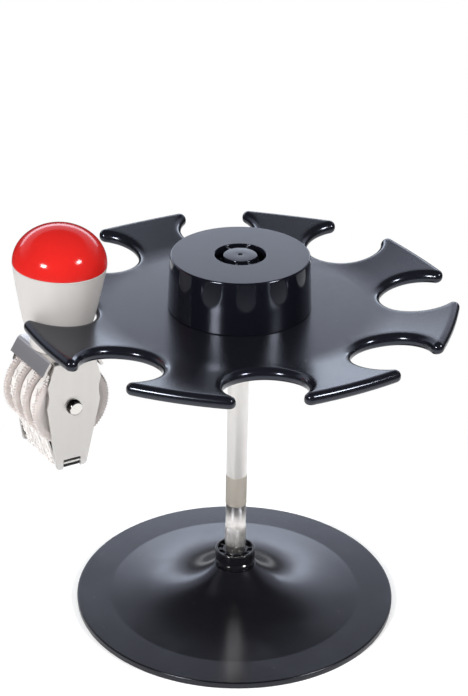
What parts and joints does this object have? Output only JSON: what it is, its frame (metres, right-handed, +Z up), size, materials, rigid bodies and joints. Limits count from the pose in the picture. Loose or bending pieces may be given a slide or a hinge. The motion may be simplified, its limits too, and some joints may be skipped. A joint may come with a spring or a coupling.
{
  "type": "document stamp carousel",
  "caption": "Round turning plate with open slots for rubber stamps, a knob on top and a weighted stand, with a date stamp with turning wheels hanging in one slot.",
  "frame": {"origin": "on the pole's axis, at the level of the surface that the base stands on", "axes": "+Z up along the pole; the slot that holds the date stamp lies along -X; the picture looks roughly along +Y from above"},
  "size_m": [0.1577, 0.1498, 0.1523],
  "materials": {
    "base_paint": "satin black paint with a fine texture",
    "foam": "closed-cell foam sheet",
    "ballast_steel": "plain turned steel",
    "core_plastic": "moulded black plastic",
    "screw_steel": "zinc-plated steel",
    "collar_plastic": "glossy black moulding",
    "pole_steel": "bright nickel-plated steel, knurled bands",
    "washer_brass": "plain brass",
    "plate_plastic": "satin black moulding with a fine grain",
    "bush_plastic": "natural white bearing plastic",
    "knob_plastic": "polished black side, satin top",
    "handle_plastic": "satin light grey moulding",
    "cap_plastic": "polished red moulding",
    "frame_nickel": "satin nickel-plated sheet steel",
    "wheel_plastic": "pale moulding",
    "band_rubber": "pale translucent rubber",
    "platen_plastic": "black moulding"
  },
  "bodies": {
    "stand": {"base_disc": "base_paint", "base_pad": "foam", "ballast_disc": "ballast_steel", "hub_core": "core_plastic", "base_screw": "screw_steel", "base_collar": "collar_plastic", "pole": "pole_steel", "thrust_washer": "washer_brass", "top_washer": "screw_steel", "top_screw": "screw_steel"},
    "carousel": {"carousel_plate": "plate_plastic", "hub_bush": "bush_plastic", "knob": "knob_plastic", "knob_screws": "screw_steel"},
    "date_stamp": {"handle_body": "handle_plastic", "handle_cap": "cap_plastic", "handle_stud": "screw_steel", "stamp_frame": "frame_nickel", "wheel_axle": "frame_nickel", "platen": "platen_plastic", "platen_tongue": "frame_nickel", "year_band": "band_rubber", "month_band": "band_rubber", "day_band": "band_rubber"},
    "year_wheel": {"year_wheel": "wheel_plastic"},
    "month_wheel": {"month_wheel": "wheel_plastic"},
    "day_wheel": {"day_wheel": "wheel_plastic"}
  },
  "joints": [
    {"name": "carousel_spin", "type": "hinge", "parent": "stand", "child": "carousel", "pos_m": [0, 0, 0.1203], "axis": [0, 0, 1], "continuous": true},
    {"name": "stamp_lift", "type": "slide", "parent": "carousel", "child": "date_stamp", "axis": [0, 0, 1], "range_m": [0, 0.008]},
    {"name": "year_spin", "type": "hinge", "parent": "date_stamp", "child": "year_wheel", "pos_m": [-0.06433, 0, 0.08964], "axis": [-0.4409, 0.8973, 0.0231], "continuous": true},
    {"name": "month_spin", "type": "hinge", "parent": "date_stamp", "child": "month_wheel", "pos_m": [-0.06433, 0, 0.08964], "axis": [-0.4409, 0.8973, 0.0231], "continuous": true},
    {"name": "day_spin", "type": "hinge", "parent": "date_stamp", "child": "day_wheel", "pos_m": [-0.06433, 0, 0.08964], "axis": [-0.4409, 0.8973, 0.0231], "continuous": true}
  ]
}
